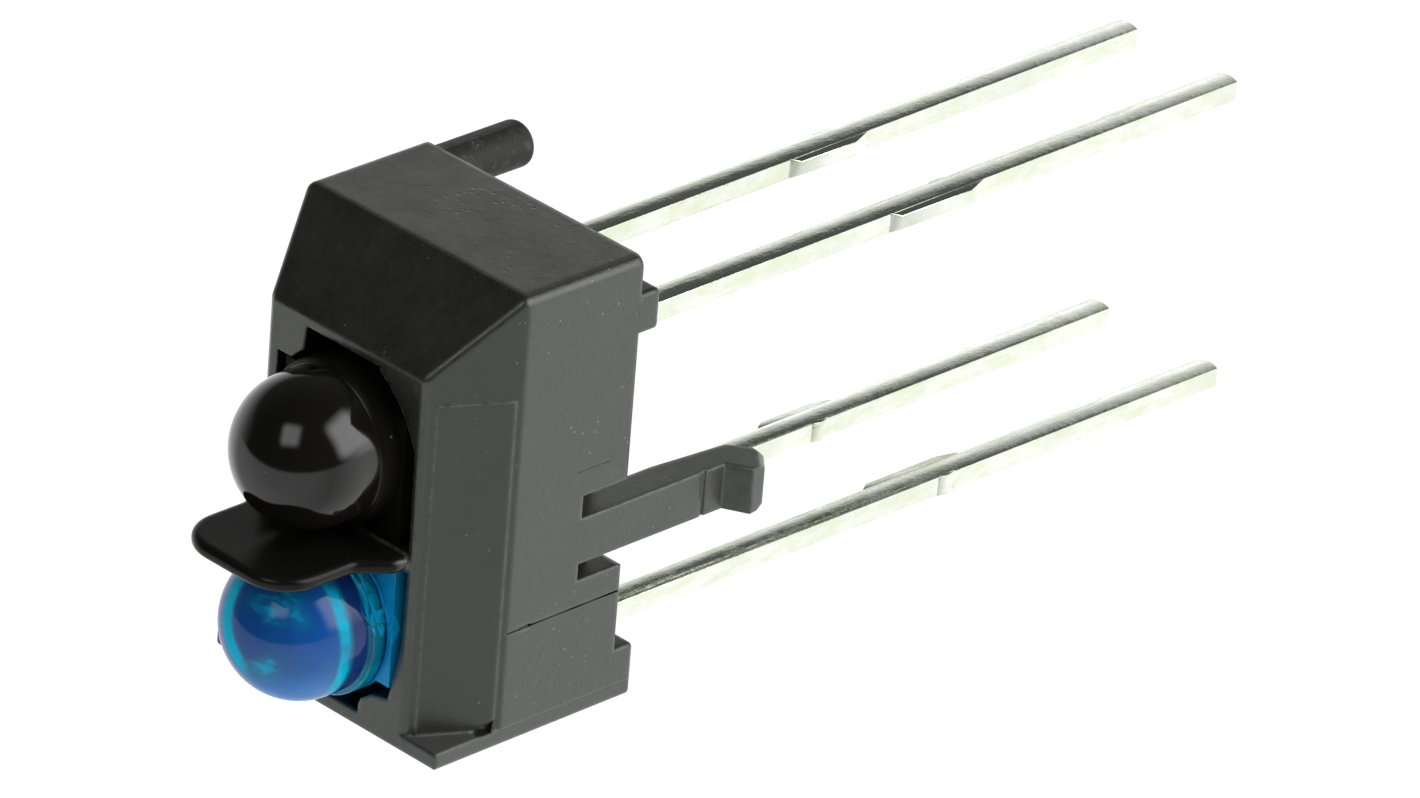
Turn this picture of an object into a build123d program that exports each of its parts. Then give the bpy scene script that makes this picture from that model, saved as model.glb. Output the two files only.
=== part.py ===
from build123d import *
import math
import os

# Reflective optical sensor: a black moulded housing that holds a blue emitter lamp and a black
# detector lamp side by side, looking the same way out of two pockets with a light barrier between.
# Millimetres. The lenses look up (+Z), the leads run down, the board seat is z = 0.

# Optical axes
optical_mid_x = -0.70
lens_spacing = 3.46
emitter_x = optical_mid_x - lens_spacing / 2
detector_x = optical_mid_x + lens_spacing / 2

# Leads, and the square resin block that covers them behind each lens
lead_size = 0.50
lead_pitch = 2.54
lead_offset = 1.30
lead_side_cover = 0.23
lead_end_cover = 0.15
chamber_clear = 0.05
block_half_width = lead_pitch / 2 + lead_size / 2 + lead_side_cover
block_reach = lead_offset + lead_size / 2 + lead_end_cover

# Pockets in the front and the chambers behind them
chamber_half_width = block_half_width + chamber_clear
detector_pocket_end_x = detector_x + block_reach + chamber_clear
emitter_pocket_end_x = emitter_x - block_reach - chamber_clear
neck_half_width = 0.86

# Housing, outside
side_wall = 0.24
end_wall = 0.32
end_rim = 0.24
near_rim = 0.14
far_rim = 0.26
slope_run = 1.48
taper_run = 0.86
taper_rise = 1.58
rear_z = 0.5
front_z = 4.83
side_top_z = front_z - taper_rise
front_half_width = chamber_half_width + side_wall
side_y = front_half_width + taper_run
low_end_x = emitter_pocket_end_x - end_wall
slope_end_x = detector_pocket_end_x + end_rim
high_end_x = slope_end_x + slope_run
pocket_near_y = front_half_width - near_rim
pocket_far_y = front_half_width - far_rim
pocket_floor_z = 3.60
end_plate = 0.35
end_round = 0.22
plate_round = 0.10
ridge_round = 0.15
front_round = 0.05
front_bevel = 0.08

# Light barrier between the two lamps
barrier_thick = 0.28
barrier_x = optical_mid_x - 0.02
barrier_half_width = 1.46
barrier_foot_half_width = pocket_near_y
barrier_top_z = 7.48
barrier_corner = 0.90
barrier_edge = 0.12
wall_thick = 0.37

# Lamps
lens_radius = 1.45
lens_centre_z = 5.60
collar_radius = 1.54
collar_bevel = 0.04
collar_top_z = 5.20
collar_low_z = 4.80
neck_block_half_width = 1.58
neck_block_end = 0.95
shoulder_z = 3.40
lamp_rear_z = 0.90
lamp_gap = 0.05

# Leads inside the lamps, chips and bond wires
bridge_low_z = 2.10
post_low_y = 0.65
post_high_y = 1.05
head_low_z = 3.60
head_top_z = 4.15
attach_thick = 0.03
emitter_chip_size = 0.30
detector_chip_size = 0.80
chip_height = 0.20
chip_top_z = head_top_z + attach_thick + chip_height
cup_depth = 0.15
cup_floor_radius = 0.26
cup_rim_radius = 0.38
bond_wire_radius = 0.02

# Snap hooks
hook_low_x = -1.33
hook_high_x = -0.42
hook_inner_y = side_y - 0.71
hook_tip_inner_y = side_y - 0.54
catch_z = -1.98
barb_reach = 0.47
barb_low_z = -2.93
slot_low_x = -1.68
slot_high_x = 0.05
slot_top_z = 1.58
slot_depth_y = side_y - 0.85

# Feet and locating peg
foot_inner_y = side_y - 0.48
foot_round = 0.10
low_foot_x = low_end_x + 1.06
high_foot_low_x = high_end_x - 1.57
high_foot_high_x = high_end_x - 0.76
peg_radius = 0.45
peg_tip_z = -1.55
peg_round = 0.18
peg_x = high_end_x - peg_radius - 0.01
peg_y = side_y - peg_radius - 0.01


def box(x0, x1, y0, y1, z0, z1):
    solid = Box(x1 - x0, y1 - y0, z1 - z0)
    return Pos((x0 + x1) / 2, (y0 + y1) / 2, (z0 + z1) / 2) * solid


def along_x(points, x0, x1):
    face = make_face(Polyline(*points, close=True))
    return extrude(Plane.YZ.offset(x0) * face, amount=x1 - x0)


def along_y(points, y0, y1):
    face = make_face(Polyline(*points, close=True))
    return extrude(Plane.XZ.offset(-y1) * face, amount=y1 - y0)


def along_z(face, z0, z1):
    return extrude(Plane.XY.offset(z0) * face, amount=z1 - z0)


def ridges(shape, direction, x=None, z=None):
    """Straight edges along a direction, at a place in x or z."""
    picked = shape.edges().filter_by(direction)
    if x is not None:
        picked = picked.filter_by(lambda e: abs(e.center().X - x) < 0.02)
    if z is not None:
        picked = picked.filter_by(lambda e: abs(e.center().Z - z) < 0.02)
    return list(picked)


def hips(shape):
    """The two slanting edges where the sloped end meets the tapers."""
    steep = [e for e in shape.edges() if e.geom_type == GeomType.LINE and e.center().X > slope_end_x]
    low, high = side_top_z + 0.2 * taper_rise, front_z - 0.2 * taper_rise
    return [e for e in steep if low < e.center().Z < high]


# Housing shell: a long block with tapered sides, one sloped end and one flat end plate
def outer_form():
    section = [(-side_y, rear_z), (side_y, rear_z), (side_y, side_top_z), (front_half_width, front_z)]
    section += [(-front_half_width, front_z), (-side_y, side_top_z)]
    form = along_x(section, low_end_x + end_plate, high_end_x)
    reach = 1.0
    slope = [(slope_end_x, front_z), (high_end_x, side_top_z), (high_end_x + reach, side_top_z)]
    slope += [(high_end_x + reach, front_z + reach), (slope_end_x - reach * slope_run / taper_rise, front_z + reach)]
    form = form - along_y(slope, -side_y - reach, side_y + reach)
    form = fillet(ridges(form, Axis.Z, x=high_end_x), end_round)
    shoulders = ridges(form, Axis.X, z=side_top_z) + ridges(form, Axis.Y, x=high_end_x, z=side_top_z)
    form = fillet(shoulders + hips(form), ridge_round)
    form = chamfer(ridges(form, Axis.Y, x=slope_end_x, z=front_z), front_bevel)
    form = fillet(ridges(form, Axis.X, z=front_z), front_round)
    plate = box(low_end_x, low_end_x + end_plate, -side_y, side_y, rear_z, front_z)
    outside = plate.edges().filter_by(lambda e: e.center().X < low_end_x + 0.01)
    plate = fillet(outside, plate_round)
    return form + plate


# Raised panels on the two tapered flanks and the fine mould lines on the near side
panel_height = 0.03
panel_low_x = low_end_x + end_plate
panel_high_x = slope_end_x - 0.54
panel_low_margin = 0.13
panel_high_margin = 0.22


slant = math.hypot(taper_run, taper_rise)


def on_taper(along, lift):
    """(y, z) at a distance down the near taper from its upper ridge, and lifted off it."""
    y = front_half_width + (taper_run * along + taper_rise * lift) / slant
    z = front_z + (taper_run * lift - taper_rise * along) / slant
    return (-y, z)


def flank_panel():
    points = [on_taper(panel_high_margin, -0.05), on_taper(panel_high_margin, panel_height)]
    points += [on_taper(slant - panel_low_margin, panel_height), on_taper(slant - panel_low_margin, -0.05)]
    return along_x(points, panel_low_x, panel_high_x)


def mould_marks():
    marks = box(-2.225, -2.195, -side_y - 0.1, -side_y + 0.03, rear_z - 0.1, side_top_z)
    marks += box(-2.25, -2.17, -side_y - 0.1, -side_y + 0.10, side_top_z - 0.59, side_top_z - 0.29)
    marks += box(0.56, 0.58, -side_y - 0.1, -side_y + 0.02, 1.0, 1.8)
    return marks + void()


def void():
    """A three-cornered void in the moulding, where the near panel's low corner meets the end plate."""
    middle = slant - panel_low_margin - 0.20
    y, z = on_taper(middle, 0.20)
    outward = Vector(0, -taper_rise / slant, taper_run / slant)
    face = Plane(origin=(panel_low_x, y, z), x_dir=(1, 0, 0), z_dir=outward)
    corner = Polyline((-0.02, 0.21), (-0.02, -0.15), (0.22, -0.19), close=True)
    return extrude(face * make_face(corner), amount=-0.30)


# Light barrier: a thin tongue with round corners that flares out at its foot
def barrier():
    flare_z = front_z + 0.30
    waist_z = front_z + 0.90
    half = [(barrier_foot_half_width, front_z - 0.5), (barrier_foot_half_width, flare_z)]
    half += [(barrier_half_width, waist_z), (barrier_half_width, barrier_top_z)]
    outline = half + [(-y, z) for y, z in reversed(half)]
    face = Plane.YZ.offset(barrier_x - barrier_thick / 2) * make_face(Polyline(*outline, close=True))
    top = [v for v in face.vertices() if abs(v.Z - barrier_top_z) < 0.01]
    face = fillet(top, barrier_corner)
    bends = [v for v in face.vertices() if abs(v.Z - flare_z) < 0.01 or abs(v.Z - waist_z) < 0.01]
    face = fillet(bends, 0.30)
    tongue = extrude(face, amount=barrier_thick)
    rims = [e for e in tongue.edges() if abs(abs(e.center().X - barrier_x) - barrier_thick / 2) < 0.01]
    rims = [e for e in rims if e.center().Z > front_z - 0.2]
    return fillet(rims, barrier_edge)


# Pocket outlines in the front face, one open to each lamp
def detector_pocket():
    wall_x = barrier_x + wall_thick / 2
    end_x = detector_pocket_end_x
    bend = (detector_x + 0.45, -pocket_near_y + 0.03)
    line = Polyline((end_x, neck_half_width + 0.20), (end_x - 0.47, neck_half_width + 0.24),
                    (end_x - 0.75, neck_half_width + 0.56), (end_x - 0.75, pocket_far_y),
                    (wall_x, pocket_far_y), (wall_x, -pocket_near_y), bend)
    arc = ThreePointArc(bend, (detector_x + 1.18, -1.44), (end_x - 0.08, -neck_half_width))
    end = Polyline((end_x - 0.08, -neck_half_width), (end_x, -neck_half_width), (end_x, neck_half_width + 0.20))
    return make_face([line, arc, end])


def emitter_pocket():
    wall_x = barrier_x - wall_thick / 2
    end_x = emitter_pocket_end_x
    bend = (emitter_x - 0.45, pocket_near_y - 0.03)
    line = Polyline((end_x, -neck_half_width), (end_x + 0.16, -neck_half_width), (end_x + 0.31, -0.92),
                    (end_x + 0.48, -1.15), (end_x + 0.54, -1.38), (end_x + 0.58, -1.60),
                    (emitter_x - 0.57, 0.16 - pocket_near_y), (emitter_x - 0.02, 0.04 - pocket_near_y),
                    (wall_x, -pocket_near_y), (wall_x, pocket_near_y), bend)
    arc = ThreePointArc(bend, (emitter_x - 1.18, 1.44), (end_x + 0.06, neck_half_width))
    end = Polyline((end_x + 0.06, neck_half_width), (end_x, neck_half_width), (end_x, -neck_half_width))
    return make_face([line, arc, end])


def chambers():
    pockets = along_z(detector_pocket(), pocket_floor_z - 0.01, front_z + 1)
    pockets += along_z(emitter_pocket(), pocket_floor_z - 0.01, front_z + 1)
    low, high = rear_z - 1, pocket_floor_z
    near_wall = barrier_x + wall_thick / 2
    far_wall = barrier_x - wall_thick / 2
    pockets += box(near_wall, detector_pocket_end_x, -chamber_half_width, chamber_half_width, low, high)
    pockets += box(emitter_pocket_end_x, far_wall, -chamber_half_width, chamber_half_width, low, high)
    return pockets


# Snap hook on the near side: a springy finger with a barb, freed by a slot on each side
def hook():
    outline = [(-side_y, slot_top_z + 0.1), (-side_y, catch_z), (-side_y - barb_reach, catch_z - 0.26)]
    outline += [(-side_y - barb_reach + 0.04, -2.58), (-2.96, -2.90), (-2.73, barb_low_z)]
    outline += [(-2.49, -2.74), (-hook_tip_inner_y, -2.49), (-hook_inner_y, -0.80)]
    outline += [(-hook_inner_y, slot_top_z + 0.1)]
    finger = along_x(outline, hook_low_x, hook_high_x)
    nose = [e for e in finger.edges() if e.center().Z < -2.5 and e.center().Y < -2.5]
    nose = [e for e in nose if min(abs(e.center().X - hook_low_x), abs(e.center().X - hook_high_x)) < 0.01]
    finger = chamfer(nose, 0.10)
    groove = box(hook_low_x - 1, hook_high_x + 1, -side_y - 0.2, -side_y + 0.03, -1.52, -1.42)
    return finger - groove


def hook_slot():
    slot = box(slot_low_x, slot_high_x, -side_y - 1, -slot_depth_y, rear_z - 1, slot_top_z)
    return slot - box(hook_low_x, hook_high_x, -side_y - 1, -hook_inner_y, rear_z - 1, slot_top_z + 1)


def feet():
    low_foot = box(low_end_x, low_foot_x, -side_y, -foot_inner_y, 0, rear_z + 0.3)
    tips = low_foot.edges().filter_by(lambda e: e.center().Z < 0.01)
    corners = low_foot.edges().filter_by(Axis.Z).filter_by(lambda e: e.center().Y < -side_y + 0.01)
    low_foot = fillet(tips + corners, foot_round)
    high_foot = box(high_foot_low_x, high_foot_high_x, -side_y, -foot_inner_y, 0, rear_z + 0.3)
    tips = high_foot.edges().filter_by(lambda e: e.center().Z < 0.01)
    corners = high_foot.edges().filter_by(Axis.Z).filter_by(lambda e: e.center().Y < -side_y + 0.01)
    high_foot = fillet(tips + corners, foot_round)
    return low_foot + mirror(low_foot, Plane.XZ) + high_foot


def peg():
    length = rear_z + 0.3 - peg_tip_z
    pin = Pos(peg_x, peg_y, peg_tip_z + length / 2) * Cylinder(peg_radius, length)
    return fillet(pin.edges().filter_by(lambda e: e.center().Z < peg_tip_z + 0.01), peg_round)


def housing():
    form = outer_form() + flank_panel() + mirror(flank_panel(), Plane.XZ)
    form = form - mould_marks()
    form = form - hook_slot() - mirror(hook_slot(), Plane.XZ)
    form = form - chambers()
    form = form + hook() + mirror(hook(), Plane.XZ)
    return form + feet() + peg() + barrier()


# Lamp inside parts are drawn about the lens axis, with u pointing away from the barrier
def lens_form(u_low):
    dome = Pos(0, 0, lens_centre_z) * Sphere(lens_radius)
    dome = dome & box(-3, 3, -3, 3, lens_centre_z, lens_centre_z + 3)
    barrel = along_z(Circle(lens_radius), collar_low_z - 0.1, lens_centre_z)
    collar = along_z(Circle(collar_radius), collar_low_z, collar_top_z)
    collar = chamfer(collar.edges().filter_by(lambda e: e.center().Z > collar_top_z - 0.01), collar_bevel)
    collar = collar & box(u_low, 3, -3, 3, 0, 9)
    width = neck_block_half_width
    neck = box(u_low, neck_block_end, -width, width, shoulder_z - 0.1, collar_low_z)
    return dome + barrel + collar + neck


def lamp_block(u_low, u_high):
    block = box(u_low, u_high, -block_half_width, block_half_width, lamp_rear_z, shoulder_z)
    return fillet(block.edges().filter_by(Axis.Z), lead_end_cover)


def post_lead(u_lead):
    half = lead_size / 2
    y = lead_pitch / 2
    form = box(u_lead - half, u_lead + half, y - half, y + half, lamp_rear_z, bridge_low_z + 0.5)
    form += box(-half, u_lead + half, y - half, y + half, bridge_low_z, bridge_low_z + 0.5)
    form += box(-half, half, post_low_y, y + half, bridge_low_z, bridge_low_z + 0.5)
    return form + box(-half + 0.05, half - 0.05, post_low_y, post_high_y, bridge_low_z, chip_top_z)


def chip_lead(u_lead, cup):
    half = lead_size / 2
    y = -lead_pitch / 2
    form = box(u_lead - half, u_lead + half, y - half, y + half, lamp_rear_z, bridge_low_z + 0.5)
    form += box(-half, u_lead + half, y - half, y + half, bridge_low_z, bridge_low_z + 0.5)
    form += box(-half, half, y - half, half, bridge_low_z, bridge_low_z + 0.5)
    form += box(-half, half, -half, half, bridge_low_z, head_low_z + 0.1)
    if cup:
        head = along_z(Circle(0.48), head_low_z, head_top_z + cup_depth)
        bowl = Pos(0, 0, head_top_z + cup_depth / 2) * Cone(cup_floor_radius, cup_rim_radius, cup_depth)
        return form + head - bowl
    return form + box(-0.47, 0.47, -0.55, 0.50, head_low_z, head_top_z)


# Outer part of a lead: a square bar that leans a little, with the stub of the cut tie bar on one side
def lead_tail(lamp_x, sense, u_top, u_tip, y, z_tip, tie_side, tie_high, tie_low):
    x_top = lamp_x + sense * u_top
    x_tip = lamp_x + sense * u_tip
    half = lead_size / 2
    x_ends = [(x_top - half, lamp_rear_z), (x_top + half, lamp_rear_z), (x_tip + half, z_tip), (x_tip - half, z_tip)]
    bar = along_y(x_ends, y - half, y + half)
    tip = bar.edges().filter_by(lambda e: e.center().Z < z_tip + 0.01)
    bar = chamfer(tip, 0.05)
    drop = (lamp_rear_z - (tie_high + tie_low) / 2) / (lamp_rear_z - z_tip)
    x_mid = x_top + (x_tip - x_top) * drop
    side = y + tie_side * half
    out = side + tie_side * 0.12
    stub = [(y, tie_high), (side, tie_high), (out, tie_high - 0.06), (out, tie_low + 0.45)]
    stub += [(side, tie_low), (y, tie_low)]
    far = y - tie_side * half
    tick = [(y, tie_low + 1.0), (far, tie_low + 1.0), (far - tie_side * 0.06, tie_low + 0.80)]
    tick += [(far, tie_low + 0.55), (y, tie_low + 0.55)]
    reach = half - 0.02
    return bar + along_x(stub, x_mid - reach, x_mid + reach) + along_x(tick, x_mid - reach, x_mid + reach)


def chip(size):
    half = size / 2
    low = head_top_z + attach_thick
    return box(-half, half, -half, half, low, low + chip_height)


def attach(size):
    half = size / 2
    return box(-half, half, -half, half, head_top_z, head_top_z + attach_thick)


# A half-round loop of fine wire from the chip to the post, square in section
def bond_wire(y_chip):
    y_post = (post_low_y + post_high_y) / 2
    rise = (y_post - y_chip) / 2
    middle = (y_chip + y_post) / 2
    outer = rise + bond_wire_radius
    inner = rise - bond_wire_radius
    ring = Circle(outer) - Circle(inner)
    loop = Plane.YZ.offset(-bond_wire_radius) * Pos(middle, chip_top_z) * ring
    loop = extrude(loop, amount=2 * bond_wire_radius)
    return loop & box(-1, 1, middle - outer - 1, middle + outer + 1, chip_top_z, chip_top_z + outer + 1)


def placed(shape, lamp_x, sense):
    turned = shape if sense > 0 else Rot(0, 0, 180) * shape
    return Pos(lamp_x, 0, 0) * turned


# One lamp: lens body with its two leads, chip, silver-filled adhesive and bond wire inside it
def lamp(lamp_x, sense, tails, chip_size, cup, wire_y, names):
    wall_u = abs(lamp_x - barrier_x) - wall_thick / 2 - lamp_gap
    post_tail, chip_tail = tails
    pieces = {
        names[1]: placed(post_lead(post_tail[0]), lamp_x, sense) + lead_tail(lamp_x, sense, *post_tail),
        names[2]: placed(chip_lead(chip_tail[0], cup), lamp_x, sense) + lead_tail(lamp_x, sense, *chip_tail),
        names[3]: placed(attach(chip_size), lamp_x, sense),
        names[4]: placed(chip(chip_size), lamp_x, sense),
        names[5]: placed(bond_wire(wire_y), lamp_x, sense),
    }
    body = placed(lens_form(-wall_u) + lamp_block(-wall_u, block_reach), lamp_x, sense)
    for piece in pieces.values():
        body = body - piece
    pieces[names[0]] = body
    return pieces


# Each tail: offset from the lens axis at its top and tip, y, tip height, side and heights of the tie stub
half_pitch = lead_pitch / 2
detector_tails = [
    (lead_offset, lead_offset + 0.17, half_pitch, -16.4, -1, -7.15, -9.20),
    (lead_offset - 0.09, lead_offset + 0.04, -half_pitch, -16.5, -1, -7.25, -9.70),
]
emitter_tails = [
    (lead_offset, lead_offset + 0.08, -half_pitch, -16.8, 1, -7.70, -10.20),
    (lead_offset - 0.25, lead_offset - 0.27, half_pitch, -16.4, 1, -7.40, -9.35),
]
detector_names = ["detector_body", "detector_emitter_lead", "detector_collector_lead"]
detector_names += ["detector_adhesive", "detector_chip", "detector_bond_wire"]
emitter_names = ["emitter_body", "emitter_anode_lead", "emitter_cathode_lead"]
emitter_names += ["emitter_adhesive", "emitter_chip", "emitter_bond_wire"]

nodes = {"housing": housing()}
nodes.update(lamp(detector_x, 1, detector_tails, detector_chip_size, False, 0.25, detector_names))
nodes.update(lamp(emitter_x, -1, emitter_tails, emitter_chip_size, True, 0.0, emitter_names))

os.makedirs("parts", exist_ok=True)
for name, shape in nodes.items():
    solids = shape.solids()
    export_step(shape if len(solids) > 1 else solids[0], "parts/" + name + ".step")
    size = shape.bounding_box().size
    print(name, len(solids), round(size.X, 2), round(size.Y, 2), round(size.Z, 2), round(shape.volume, 3))
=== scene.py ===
import math
from collections import namedtuple

import bmesh
import bpy
from mathutils import Matrix, Vector


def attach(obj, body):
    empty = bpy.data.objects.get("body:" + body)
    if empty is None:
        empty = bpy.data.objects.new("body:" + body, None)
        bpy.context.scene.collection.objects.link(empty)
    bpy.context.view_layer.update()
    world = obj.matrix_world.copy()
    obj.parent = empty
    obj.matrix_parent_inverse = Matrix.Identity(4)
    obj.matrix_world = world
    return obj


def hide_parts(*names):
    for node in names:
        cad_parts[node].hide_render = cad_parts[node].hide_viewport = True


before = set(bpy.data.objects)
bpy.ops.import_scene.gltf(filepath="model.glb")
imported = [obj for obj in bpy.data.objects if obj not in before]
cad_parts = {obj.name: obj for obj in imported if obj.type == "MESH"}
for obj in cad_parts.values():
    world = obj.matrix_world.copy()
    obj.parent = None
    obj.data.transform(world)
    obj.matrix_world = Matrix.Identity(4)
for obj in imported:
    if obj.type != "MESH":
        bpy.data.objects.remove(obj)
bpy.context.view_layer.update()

# Looks of a reflective optical sensor: a black moulded housing with a blue emitter lens, a black
# detector lens, a light barrier between them, and four tinned leads. Blender works in metres. The
# sizes below are millimetres, as in the solids, and MM turns them into metres.

MM = 0.001

# Where the lamps stand
OPTICAL_MID_X = -0.70
LENS_SPACING = 3.46
EMITTER_X = OPTICAL_MID_X - LENS_SPACING / 2
DETECTOR_X = OPTICAL_MID_X + LENS_SPACING / 2
BARRIER_X = OPTICAL_MID_X - 0.02
WALL_THICK = 0.37
LAMP_GAP = 0.05

# Lens bodies
LENS_RADIUS = 1.45
LENS_CENTRE_Z = 5.60
LENS_TOP_Z = LENS_CENTRE_Z + LENS_RADIUS
LENS_EDGE = 0.04
LENS_STEPS = 96
DOME_STEPS = 32
COLLAR_RADIUS = 1.54
COLLAR_TOP_Z = 5.20
COLLAR_LOW_Z = 4.80
COLLAR_SINK = 0.3
COLLAR_BEVEL = 0.04
COLLAR_FILLET = 0.03
BARREL_START = 0.05
NECK_HALF_WIDTH = 1.58
NECK_END = 0.95
NECK_SINK = 0.1
SHOULDER_Z = 3.40
LAMP_REAR_Z = 0.90
BLOCK_HALF_WIDTH = 1.75
BLOCK_REACH = 1.70
TRIM_SIDE = 3
TRIM_TOP_Z = 9

# Directions on the blue dome that its curved line of painted light and its painted pale side
# follow
ARC_AXIS = (0.460, -0.615, 0.641)
ARC_END = (-0.0725, 0.693, 0.717)
LIT_SIDE = (-0.885, -0.376, 0.274)

# Leads, the heads that carry the chips, and bond wires
LEAD_SIZE = 0.50
LEAD_PITCH = 2.54
LEAD_OFFSET = 1.30
LEAD_EDGE = 0.02
LEAD_CROWN = 0.055
CROWN_STRIPS = 8
BRIDGE_Z = 2.35
POST_Y = 0.85
HEAD_LOW_Z = 3.60
HEAD_TOP_Z = 4.15
HEAD_OVERLAP = 0.1
PLATE_HALF_X = 0.47
PLATE_HALF_Y = 0.53
CUP_RADIUS = 0.48
CUP_RIM_RADIUS = 0.38
CUP_FLOOR_RADIUS = 0.26
CUP_DEPTH = 0.15
CUP_STEPS = 48
CHIP_TOP_Z = 4.38
WIRE_SIZE = 0.04
WIRE_SIDES = 12
WIRE_STEPS = 24

# The stub of the cut tie bar on one flat of a lead, and the small tick on the other
STUB_OUT = 0.12
STUB_HIGH_SLOPE = 0.20
STUB_LOW_SLOPE = 0.45
STUB_LIFT = 0.01
STUB_SINK = 0.03
TICK_OUT = 0.06
TICK_HIGH = 1.0
TICK_POINT = 0.8
TICK_LOW = 0.55

# Places on the housing that its finish needs
FRONT_Z = 4.83
SIDE_Y = 2.90
SEAM_X = -2.21
SEAM_MID_Z = 1.8
SEAM_HALF_WIDTH = 0.022
SEAM_HALF_HEIGHT = 1.45
PLATE_BACK_X = -4.15
END_X = 4.50
PEG_X = 4.04
PEG_Y = 2.44
PEG_MID_Z = -0.70
PEG_HALF_WIDTH = 0.48
PEG_HALF_HEIGHT = 1.15
RIDGE_RADIUS = 0.10
EDGE_ROUNDING = 0.13

# How meshes are merged, rounded and shaded: a distance in metres and angles in degrees
WELD_DISTANCE = 2e-7
FLAT_ANGLE = 0.6
SMOOTH_ANGLE = 30
SHARP_ANGLE = 40
LENS_BEVEL_ANGLE = 50
LEAD_BEVEL_ANGLE = 40

# The floor and its two shares of white that the camera sees, the brightness of the world and of
# its dark room, and the share of each soft box that its faded edges take
FLOOR_Z = -16.8
FLOOR_HALF = 600
FLOOR_GLOW = 0.92
FLOOR_SHADE = 0.30
WORLD_LEVEL = 1.3
ROOM_LEVEL = 0.035
LAMP_FADE = 0.30

# The camera that was fitted to the photo; facing points from the part to it
PHOTO_WIDTH = 1420
LENS_PIXELS = 10700
FILM_WIDTH = 36
CAMERA_PLACE = (89.217, -120.763, 121.389)
CAMERA_FACING = (0.460, -0.615, 0.641)
CAMERA_UPRIGHT = (0.885, 0.376, -0.274)


# Meshes


def linked(name, data):
    obj = bpy.data.objects.new(name, data)
    bpy.context.scene.collection.objects.link(obj)
    return obj


def mesh_object(name, bm):
    bmesh.ops.recalc_face_normals(bm, faces=bm.faces[:])
    mesh = bpy.data.meshes.new(name)
    bm.to_mesh(mesh)
    bm.free()
    return linked(name, mesh)


def settle(obj):
    """Applies an object's modifiers, so that what is left is a plain mesh."""
    graph = bpy.context.evaluated_depsgraph_get()
    graph.update()
    mesh = bpy.data.meshes.new_from_object(obj.evaluated_get(graph))
    old = obj.data
    obj.modifiers.clear()
    obj.data = mesh
    if old.users == 0:
        bpy.data.meshes.remove(old)
    return obj


def soften(obj, width, angle):
    """Rounds edges sharper than the angle, as a mould or a punch does, and shades them smooth."""
    bevel = obj.modifiers.new("soft_edges", "BEVEL")
    bevel.width = width * MM
    bevel.segments = 2
    bevel.limit_method = "ANGLE"
    bevel.angle_limit = math.radians(angle)
    bevel.harden_normals = False
    obj = settle(obj)
    for face in obj.data.polygons:
        face.use_smooth = True
    obj.data.set_sharp_from_angle(angle=math.radians(SHARP_ANGLE))
    return obj


def steady(obj, angle):
    """Smooth shading within that angle, ruled by the large faces, so that flats stay flat."""
    mesh = obj.data
    limit = math.cos(math.radians(angle))
    around = [[] for _ in mesh.vertices]
    for face in mesh.polygons:
        for v in face.vertices:
            around[v].append(face)
    normals = []
    for face in mesh.polygons:
        face.use_smooth = True
        for v in face.vertices:
            mixed = Vector()
            for other in around[v]:
                if other.normal.dot(face.normal) > limit:
                    mixed += other.normal * other.area
            normals.append(mixed.normalized() if mixed.length > 0 else face.normal)
    mesh.normals_split_custom_set(normals)
    return obj


def box_into(bm, low, high):
    for v in bmesh.ops.create_cube(bm, size=1.0)["verts"]:
        for i in range(3):
            v.co[i] = (low[i] + (v.co[i] + 0.5) * (high[i] - low[i])) * MM


def box_object(name, low, high):
    bm = bmesh.new()
    box_into(bm, low, high)
    return mesh_object(name, bm)


def lathe_into(bm, profile, centre_x, steps):
    """Turns (radius, height) pairs round a vertical axis. Both ends of the profile lie on it."""
    rings = []
    for r, z in profile:
        count = 1 if r < 1e-6 else steps
        turns = [2 * math.pi * i / steps for i in range(count)]
        places = [(centre_x + r * math.cos(a), r * math.sin(a), z) for a in turns]
        rings.append([bm.verts.new(tuple(c * MM for c in place)) for place in places])
    for lower, upper in zip(rings, rings[1:]):
        for i in range(steps):
            j = (i + 1) % steps
            if len(lower) == 1:
                bm.faces.new((lower[0], upper[j], upper[i]))
            elif len(upper) == 1:
                bm.faces.new((lower[i], lower[j], upper[0]))
            else:
                bm.faces.new((lower[i], lower[j], upper[j], upper[i]))


def joined(obj, other, operation="UNION"):
    cut = obj.modifiers.new("join", "BOOLEAN")
    cut.operation = operation
    cut.solver = "EXACT"
    cut.object = other
    obj = settle(obj)
    bpy.data.objects.remove(other)
    return obj


# Node trees


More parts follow.
